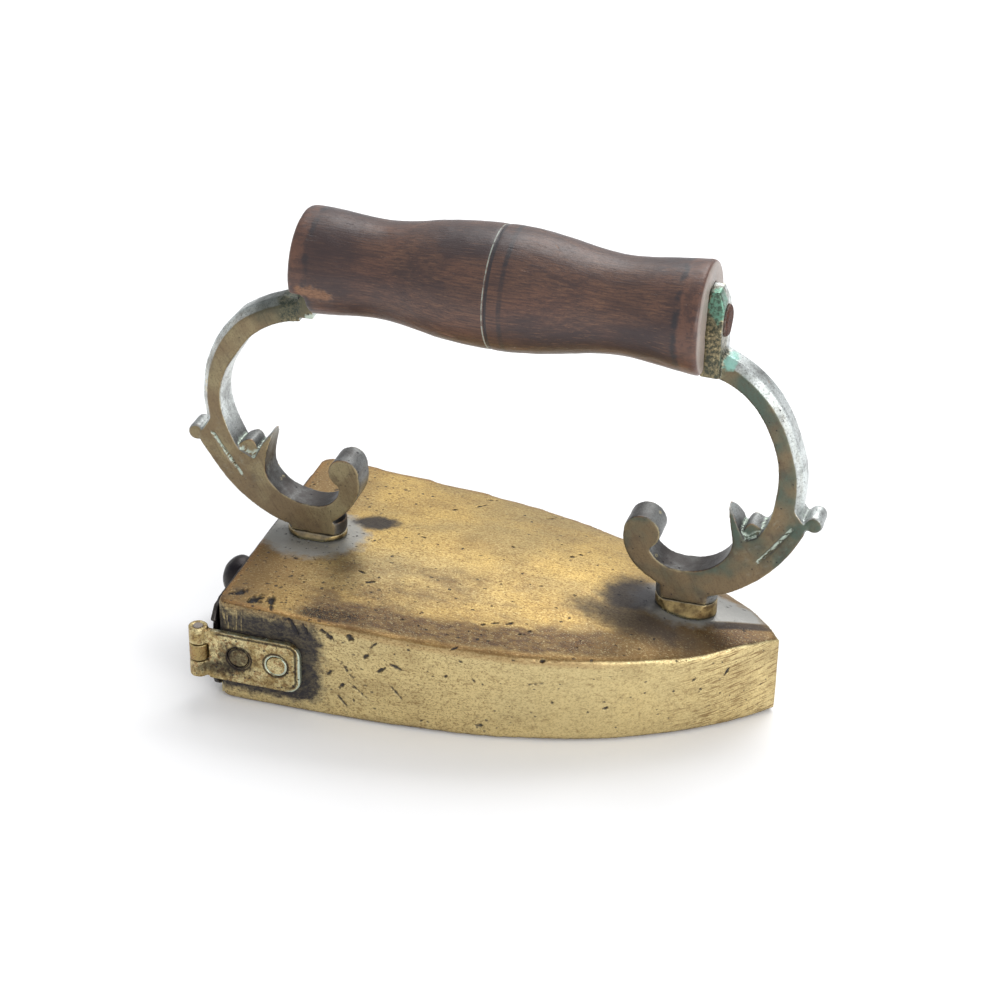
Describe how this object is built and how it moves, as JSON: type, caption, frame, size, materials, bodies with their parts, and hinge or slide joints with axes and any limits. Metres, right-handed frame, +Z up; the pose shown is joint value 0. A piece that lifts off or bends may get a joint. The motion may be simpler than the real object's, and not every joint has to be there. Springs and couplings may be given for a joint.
{
  "type": "box iron",
  "caption": "Old brass box iron: hollow pointed body with a hinged iron door at the heel, a heating slug inside and a turned wooden grip on scroll posts.",
  "frame": {"origin": "on the flat underside of the sole, below the middle of the grip, in the plane of symmetry", "axes": "+X towards the pointed toe, +Z up, +Y to the side away from the door hinge"},
  "size_m": [0.1782, 0.0878, 0.1319],
  "materials": {
    "body_brass": "aged cast brass, pitted and scratched, dark along the shoulders",
    "post_brass": "aged cast brass, brown with green in the recesses",
    "pad_brass": "aged cast brass, grey-green",
    "hinge_brass": "aged sheet brass, worn bright on the high spots",
    "grip_wood": "dark red-brown turned hardwood, hand polished",
    "rod_iron": "wrought iron, rusty",
    "door_iron": "blackened wrought iron",
    "slug_iron": "cast iron, scaled from the fire"
  },
  "bodies": {
    "body": {"box_casting": "body_brass", "sole_plate": "body_brass", "slug_rest_ribs": "body_brass", "rear_post": "post_brass", "front_post": "post_brass", "rear_foot_pad": "pad_brass", "front_foot_pad": "pad_brass", "rear_post_burr": "pad_brass", "front_post_burr": "pad_brass", "wooden_grip": "grip_wood", "grip_rod": "rod_iron", "hinge_strap": "hinge_brass", "strap_rivets": "hinge_brass", "hinge_pin": "rod_iron", "latch_keeper": "body_brass"},
    "door": {"door_plate": "door_iron", "door_hinge_leaf": "hinge_brass", "door_leaf_rivets": "hinge_brass", "latch_washer": "door_iron"},
    "latch": {"door_knob": "door_iron", "knob_spindle": "rod_iron", "latch_bar": "door_iron", "spindle_burr": "rod_iron"},
    "slug": {"heating_slug": "slug_iron"}
  },
  "joints": [
    {"name": "door_swing", "type": "hinge", "parent": "body", "child": "door", "pos_m": [-0.0708, -0.043, 0.0152], "axis": [0, 0, 1], "range_deg": [0, 180]},
    {"name": "latch_turn", "type": "hinge", "parent": "door", "child": "latch", "pos_m": [-0.067, 0, 0.0118], "axis": [1, 0, 0], "range_deg": [0, 90]},
    {"name": "slug_slide", "type": "slide", "parent": "body", "child": "slug", "axis": [1, 0, 0], "range_m": [-0.0025, 0]}
  ]
}
